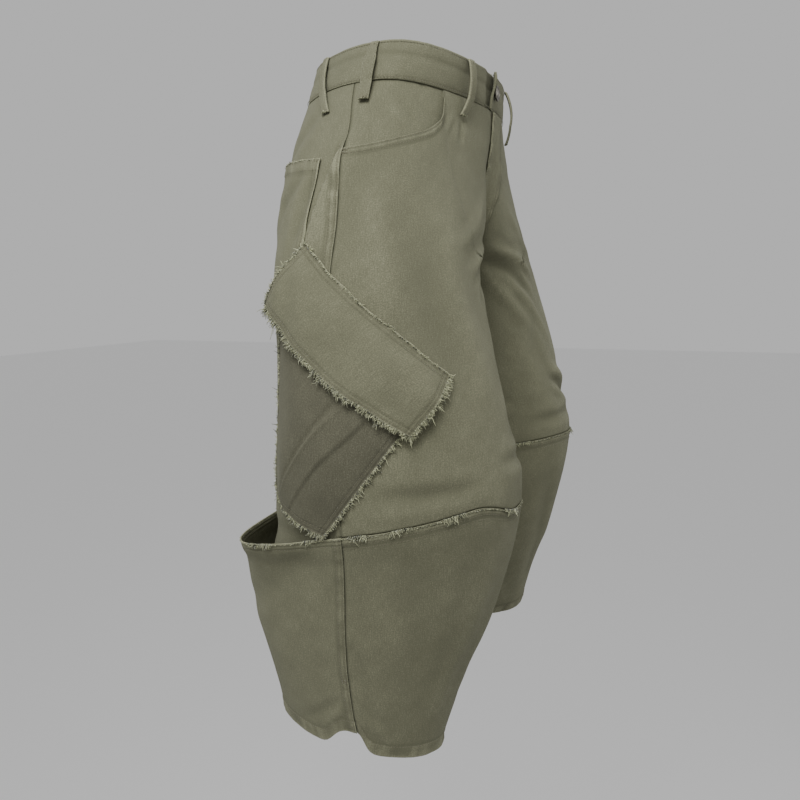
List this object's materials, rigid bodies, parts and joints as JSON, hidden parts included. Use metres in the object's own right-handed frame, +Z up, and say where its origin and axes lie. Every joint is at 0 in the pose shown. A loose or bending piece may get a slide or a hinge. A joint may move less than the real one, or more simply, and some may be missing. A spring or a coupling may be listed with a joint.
{
  "type": "cargo shorts",
  "caption": "Long barrel-leg cargo shorts in worn olive canvas with raw frayed edges, tilted cargo pockets with flaps, open back pouches and a belt-loop waistband.",
  "frame": {"origin": "centre of the waist opening, at the height of the waistband's upper edge", "axes": "+Z up, the garment's front faces -Y, the wearer's right is -X"},
  "size_m": [0.5542, 0.2986, 0.7535],
  "materials": {
    "canvas": "washed olive cotton canvas, matt, faded along seams, raw edges frayed",
    "zip_tape": "plain woven tape",
    "dark_metal": "dark antiqued metal, half gloss"
  },
  "bodies": {
    "root": {"waistband": "canvas", "upper_front_right": "canvas", "upper_back_right": "canvas", "lower_front_right": "canvas", "lower_back_right": "canvas", "front_pocket_facing_right": "canvas", "back_pocket_right": "canvas", "cargo_pocket_right": "canvas", "cargo_flap_right": "canvas", "upper_front_left": "canvas", "upper_back_left": "canvas", "lower_front_left": "canvas", "lower_back_left": "canvas", "front_pocket_facing_left": "canvas", "back_pocket_left": "canvas", "cargo_pocket_left": "canvas", "cargo_flap_left": "canvas", "belt_loop_front_right": "canvas", "belt_loop_side_right": "canvas", "belt_loop_back_right": "canvas", "belt_loop_centre_back": "canvas", "belt_loop_back_left": "canvas", "belt_loop_side_left": "canvas", "belt_loop_front_left": "canvas", "fly_placket": "canvas", "fly_shield": "canvas", "zip_tape": "zip_tape", "zip_slider": "dark_metal", "zip_pull_tab": "dark_metal", "waist_button": "dark_metal"}
  },
  "joints": []
}
